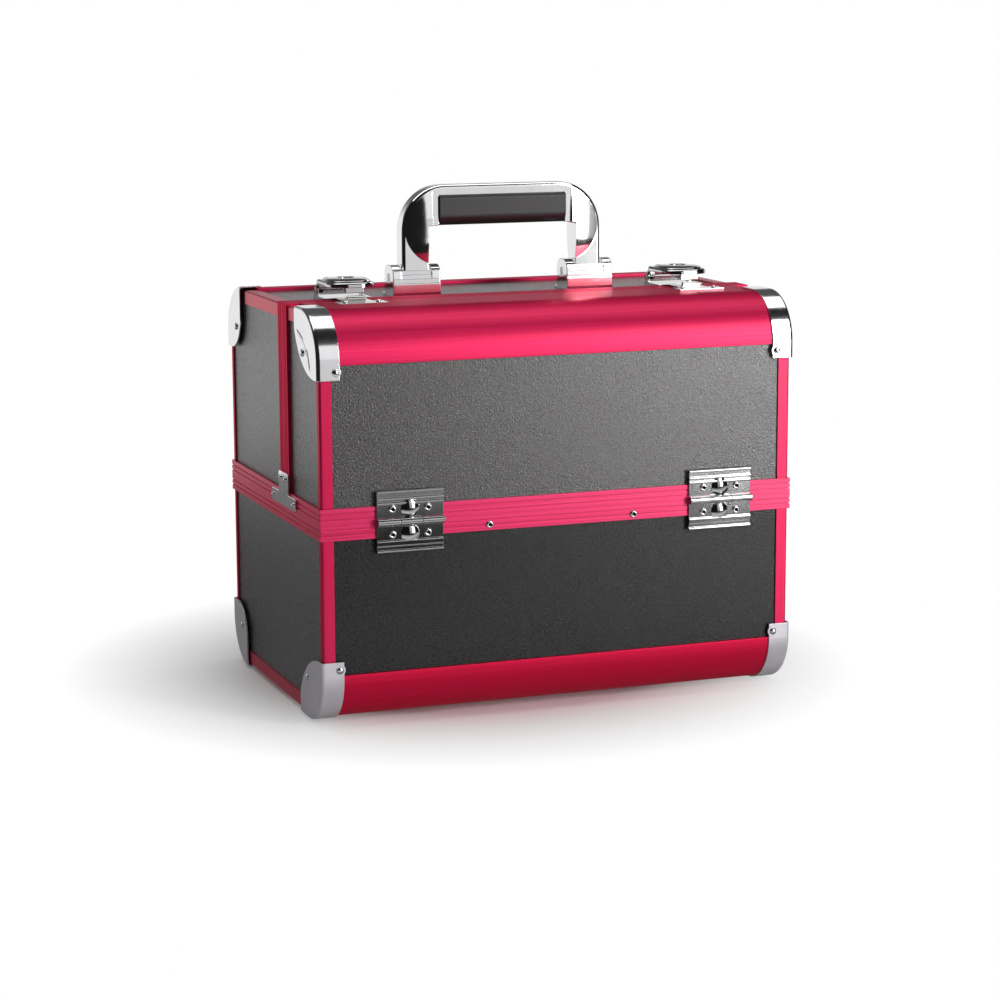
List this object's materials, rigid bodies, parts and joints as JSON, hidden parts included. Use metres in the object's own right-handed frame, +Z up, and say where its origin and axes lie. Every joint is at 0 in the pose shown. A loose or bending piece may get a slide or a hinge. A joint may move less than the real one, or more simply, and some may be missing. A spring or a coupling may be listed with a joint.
{
  "type": "makeup train case",
  "caption": "Rigid cosmetics train case with red metal edging, lids that swing apart along a top seam, cantilever trays, key latches and a folding carrying handle.",
  "frame": {"origin": "on the floor under the middle of the case, between the feet", "axes": "+Z up, +X to the right seen from the front, the front face towards -Y"},
  "size_m": [0.3242, 0.2206, 0.33],
  "materials": {
    "red_aluminium": "brushed red anodised",
    "black_panel": "fine pebble grain over board",
    "lining": "short black pile",
    "chrome": "polished",
    "satin_steel": "satin",
    "steel": "brushed",
    "lock_metal": "turned",
    "tray_plastic": "satin black",
    "grip_rubber": "soft, faint sheen",
    "foot_rubber": "matt"
  },
  "bodies": {
    "base": {"base_front_panel": "black_panel", "base_back_panel": "black_panel", "base_side_panels": "black_panel", "base_bottom_panel": "black_panel", "base_edge_profiles": "red_aluminium", "base_corner_posts": "red_aluminium", "base_rim_rails": "red_aluminium", "base_bottom_angles": "red_aluminium", "base_lining": "lining", "base_corner_caps": "satin_steel", "base_hinge_leaves": "chrome", "hinge_pins": "steel", "base_arm_brackets": "steel", "base_rivets": "steel", "feet": "foot_rubber"},
    "front_lid": {"front_lid_front_panel": "black_panel", "front_lid_side_panels": "black_panel", "front_lid_top_profile": "red_aluminium", "front_lid_corner_posts": "red_aluminium", "front_lid_rim_rails": "red_aluminium", "front_lid_seam_rails": "red_aluminium", "front_lid_top_angles": "red_aluminium", "front_lid_lining": "lining", "front_lid_corner_caps": "chrome", "front_lid_seam_plates": "chrome", "front_lid_hinge_leaves": "chrome", "latch_keepers": "chrome", "front_lid_tray_pins": "steel", "front_lid_rivets": "steel"},
    "back_lid": {"back_lid_back_panel": "black_panel", "back_lid_side_panels": "black_panel", "back_lid_top_panel": "black_panel", "back_lid_top_profile": "red_aluminium", "back_lid_corner_posts": "red_aluminium", "back_lid_rim_rails": "red_aluminium", "back_lid_seam_rails": "red_aluminium", "back_lid_top_angles": "red_aluminium", "back_lid_lining": "lining", "back_lid_corner_caps": "chrome", "back_lid_seam_plates": "chrome", "back_lid_hinge_leaves": "chrome", "latch_bases": "chrome", "latch_pins": "steel", "handle_brackets": "chrome", "handle_pins": "steel", "back_lid_tray_pins": "steel", "back_lid_rivets": "steel"},
    "handle": {"handle_frame": "chrome", "handle_grip": "grip_rubber"},
    "left_latch": {"left_latch_lever": "chrome"},
    "right_latch": {"right_latch_lever": "chrome"},
    "left_lock": {"left_lock_cylinder": "lock_metal"},
    "right_lock": {"right_lock_cylinder": "lock_metal"},
    "front_low_tray": {"front_lower_tray": "tray_plastic"},
    "front_high_tray": {"front_upper_tray": "tray_plastic"},
    "back_low_tray": {"back_lower_tray": "tray_plastic"},
    "back_high_tray": {"back_upper_tray": "tray_plastic"},
    "front_linkage": {"front_arms": "steel"},
    "back_linkage": {"back_arms": "steel"}
  },
  "joints": [
    {"name": "front_lid_hinge", "type": "hinge", "parent": "base", "child": "front_lid", "pos_m": [0, -0.1078, 0.1295], "axis": [1, 0, 0], "range_deg": [0, 90]},
    {"name": "front_low_tray_pivot", "type": "hinge", "parent": "front_lid", "child": "front_low_tray", "pos_m": [0, -0.08942, 0.14788], "axis": [1, 0, 0], "range_deg": [-90, 0]},
    {"name": "front_high_tray_pivot", "type": "hinge", "parent": "front_lid", "child": "front_high_tray", "pos_m": [0, -0.05194, 0.18536], "axis": [1, 0, 0], "range_deg": [-90, 0]},
    {"name": "front_linkage_pivot", "type": "hinge", "parent": "base", "child": "front_linkage", "pos_m": [0, -0.0933, 0.1305], "axis": [1, 0, 0], "range_deg": [0, 90]},
    {"name": "back_lid_hinge", "type": "hinge", "parent": "base", "child": "back_lid", "pos_m": [0, 0.1078, 0.1295], "axis": [-1, 0, 0], "range_deg": [0, 90]},
    {"name": "back_low_tray_pivot", "type": "hinge", "parent": "back_lid", "child": "back_low_tray", "pos_m": [0, 0.08942, 0.14788], "axis": [-1, 0, 0], "range_deg": [-90, 0]},
    {"name": "back_high_tray_pivot", "type": "hinge", "parent": "back_lid", "child": "back_high_tray", "pos_m": [0, 0.05194, 0.18536], "axis": [-1, 0, 0], "range_deg": [-90, 0]},
    {"name": "back_linkage_pivot", "type": "hinge", "parent": "base", "child": "back_linkage", "pos_m": [0, 0.0778, 0.1305], "axis": [-1, 0, 0], "range_deg": [0, 90]},
    {"name": "handle_fold", "type": "hinge", "parent": "back_lid", "child": "handle", "pos_m": [0, 0, 0.27], "axis": [-1, 0, 0], "range_deg": [0, 85]},
    {"name": "left_latch_lift", "type": "hinge", "parent": "back_lid", "child": "left_latch", "pos_m": [-0.1157, -0.0065, 0.2655], "axis": [-1, 0, 0], "range_deg": [0, 80]},
    {"name": "left_key_turn", "type": "hinge", "parent": "left_latch", "child": "left_lock", "pos_m": [-0.1157, -0.022, 0.27], "axis": [0, 0, 1], "range_deg": [0, 90]},
    {"name": "right_latch_lift", "type": "hinge", "parent": "back_lid", "child": "right_latch", "pos_m": [0.1157, -0.0065, 0.2655], "axis": [-1, 0, 0], "range_deg": [0, 80]},
    {"name": "right_key_turn", "type": "hinge", "parent": "right_latch", "child": "right_lock", "pos_m": [0.1157, -0.022, 0.27], "axis": [0, 0, 1], "range_deg": [0, 90]}
  ],
  "couplings": [
    {"joint": "front_low_tray_pivot", "follows": "front_lid_hinge", "ratio": -1},
    {"joint": "front_high_tray_pivot", "follows": "front_lid_hinge", "ratio": -1},
    {"joint": "front_linkage_pivot", "follows": "front_lid_hinge", "ratio": 1},
    {"joint": "back_low_tray_pivot", "follows": "back_lid_hinge", "ratio": -1},
    {"joint": "back_high_tray_pivot", "follows": "back_lid_hinge", "ratio": -1},
    {"joint": "back_linkage_pivot", "follows": "back_lid_hinge", "ratio": 1}
  ]
}
